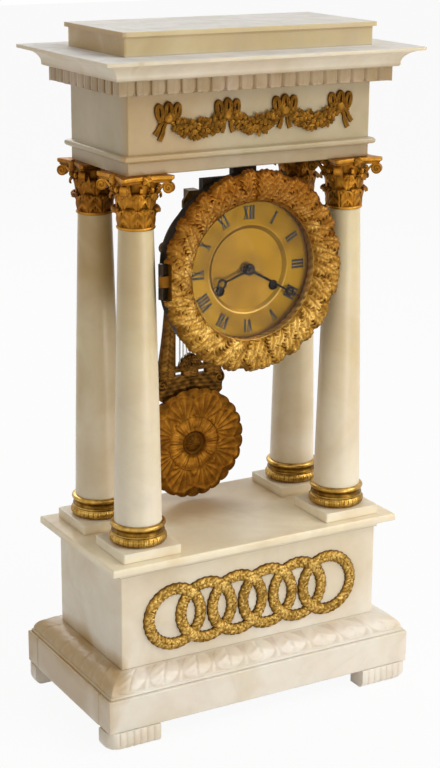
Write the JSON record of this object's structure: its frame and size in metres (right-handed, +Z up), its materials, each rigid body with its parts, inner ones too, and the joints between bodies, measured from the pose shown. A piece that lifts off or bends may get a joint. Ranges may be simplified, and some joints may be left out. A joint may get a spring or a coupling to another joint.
{
  "type": "portico mantel clock",
  "caption": "Mantel clock with alabaster columns on a stepped base, gilt capitals and mounts, hanging round dial with opening bezel, lyre pendulum, wheel movement and bell strike.",
  "frame": {"origin": "middle of the footprint, on the floor under the feet", "axes": "+X to the right of the dial as seen from the front, +Y from the dial to the back, +Z up"},
  "size_m": [0.247, 0.1384, 0.48],
  "materials": {
    "alabaster": "polished, softly translucent",
    "gilt_bronze": "burnished gilding",
    "aged_gilt": "worn dark gilding",
    "dial_gilt": "engine turned gilding",
    "brass": "lacquered",
    "steel": "polished",
    "blued_steel": "heat blued",
    "dark_iron": "blackened",
    "glass": "clear"
  },
  "bodies": {
    "case": {"base_block": "alabaster", "base_bars": "alabaster", "feet": "alabaster", "base_moulding": "alabaster", "pedestal": "alabaster", "ring_mount": "gilt_bronze", "pedestal_slab": "alabaster", "column_plinths": "alabaster", "column_base_front_left": "gilt_bronze", "column_base_front_right": "gilt_bronze", "column_base_back_left": "gilt_bronze", "column_base_back_right": "gilt_bronze", "column_shaft_front_left": "alabaster", "column_shaft_front_right": "alabaster", "column_shaft_back_left": "alabaster", "column_shaft_back_right": "alabaster", "capital_front_left": "gilt_bronze", "capital_front_right": "gilt_bronze", "capital_back_left": "gilt_bronze", "capital_back_right": "gilt_bronze", "tie_rods": "dark_iron", "frieze_block": "alabaster", "festoon": "aged_gilt", "cornice": "alabaster", "attic_block": "alabaster", "drum_hanger": "dark_iron", "drum": "dark_iron", "bezel_hinge_pin": "steel", "dial": "dial_gilt", "front_plate": "brass", "back_plate": "brass", "plate_pillars": "brass", "bell": "gilt_bronze", "bell_post": "brass", "back_cock": "brass", "suspension_spring": "steel"},
    "bezel_door": {"bezel": "gilt_bronze", "dial_glass": "glass"},
    "minute_arbor": {"centre_wheel": "brass", "cannon_pinion": "steel", "minute_hand": "blued_steel"},
    "hour_pipe": {"hour_wheel": "brass", "hour_hand": "blued_steel"},
    "motion_wheel": {"minute_wheel": "brass"},
    "intermediate_arbor": {"intermediate_wheel": "brass"},
    "going_drive": {"going_barrel": "brass", "going_mainspring": "steel"},
    "going_key_arbor": {"going_arbor": "steel"},
    "third_arbor": {"third_wheel": "brass"},
    "escape_arbor": {"escape_wheel": "brass"},
    "pendulum": {"pendulum_lyre": "aged_gilt", "lyre_strings": "steel", "pendulum_bob": "aged_gilt"},
    "anchor_and_crutch": {"anchor": "steel"},
    "strike_drive": {"strike_barrel": "brass", "strike_mainspring": "steel"},
    "strike_key_arbor": {"strike_arbor": "steel"},
    "pin_arbor": {"pin_wheel": "brass"},
    "fly_arbor": {"fly": "brass"},
    "bell_hammer": {"hammer": "steel"}
  },
  "joints": [
    {"name": "minute_turn", "type": "hinge", "parent": "case", "child": "minute_arbor", "pos_m": [0, 0, 0.3185], "axis": [0, 1, 0], "continuous": true},
    {"name": "hour_turn", "type": "hinge", "parent": "case", "child": "hour_pipe", "pos_m": [0, 0, 0.3185], "axis": [0, 1, 0], "continuous": true},
    {"name": "motion_turn", "type": "hinge", "parent": "case", "child": "motion_wheel", "pos_m": [0, 0, 0.3305], "axis": [0, 1, 0], "continuous": true},
    {"name": "intermediate_turn", "type": "hinge", "parent": "case", "child": "intermediate_arbor", "pos_m": [0.01455, 0, 0.32452], "axis": [0, 1, 0], "continuous": true},
    {"name": "going_barrel_turn", "type": "hinge", "parent": "case", "child": "going_drive", "pos_m": [0.0208, 0, 0.305], "axis": [0, 1, 0], "continuous": true},
    {"name": "third_turn", "type": "hinge", "parent": "case", "child": "third_arbor", "pos_m": [-0.01018, 0, 0.32868], "axis": [0, 1, 0], "continuous": true},
    {"name": "escape_turn", "type": "hinge", "parent": "case", "child": "escape_arbor", "pos_m": [0, 0, 0.33547], "axis": [0, 1, 0], "continuous": true},
    {"name": "going_winding", "type": "hinge", "parent": "case", "child": "going_key_arbor", "pos_m": [0.0208, 0, 0.305], "axis": [0, 1, 0], "range_deg": [0, 1440]},
    {"name": "strike_barrel_turn", "type": "hinge", "parent": "case", "child": "strike_drive", "pos_m": [-0.0208, 0, 0.305], "axis": [0, 1, 0], "continuous": true},
    {"name": "pin_turn", "type": "hinge", "parent": "case", "child": "pin_arbor", "pos_m": [-0.00154, 0, 0.29799], "axis": [0, 1, 0], "continuous": true},
    {"name": "fly_turn", "type": "hinge", "parent": "case", "child": "fly_arbor", "pos_m": [-0.00154, 0, 0.28224], "axis": [0, 1, 0], "continuous": true},
    {"name": "strike_winding", "type": "hinge", "parent": "case", "child": "strike_key_arbor", "pos_m": [-0.0208, 0, 0.305], "axis": [0, 1, 0], "range_deg": [0, 1440]},
    {"name": "pendulum_swing", "type": "hinge", "parent": "case", "child": "pendulum", "pos_m": [0, 0, 0.34847], "axis": [0, 1, 0], "range_deg": [-4, 4]},
    {"name": "anchor_swing", "type": "hinge", "parent": "case", "child": "anchor_and_crutch", "pos_m": [0, 0, 0.34847], "axis": [0, 1, 0], "range_deg": [-4, 4]},
    {"name": "hammer_lift", "type": "hinge", "parent": "case", "child": "bell_hammer", "pos_m": [-0.00804, 0, 0.28044], "axis": [0, -1, 0], "range_deg": [0, 12], "stiffness_Nm_per_rad": 0.01, "springref_deg": -17.19},
    {"name": "bezel_open", "type": "hinge", "parent": "case", "child": "bezel_door", "pos_m": [-0.0692, -0.04375, 0.3185], "axis": [0, 0, -1], "range_deg": [0, 80]}
  ],
  "couplings": [
    {"joint": "hour_turn", "follows": "minute_turn", "ratio": 0.083333},
    {"joint": "motion_turn", "follows": "minute_turn", "ratio": -0.33333},
    {"joint": "intermediate_turn", "follows": "minute_turn", "ratio": -0.16667},
    {"joint": "going_barrel_turn", "follows": "minute_turn", "ratio": 0.023148},
    {"joint": "third_turn", "follows": "minute_turn", "ratio": -8},
    {"joint": "escape_turn", "follows": "minute_turn", "ratio": 60},
    {"joint": "pin_turn", "follows": "strike_barrel_turn", "ratio": -7.2},
    {"joint": "fly_turn", "follows": "strike_barrel_turn", "ratio": 43.2},
    {"joint": "anchor_swing", "follows": "pendulum_swing", "ratio": 1}
  ]
}
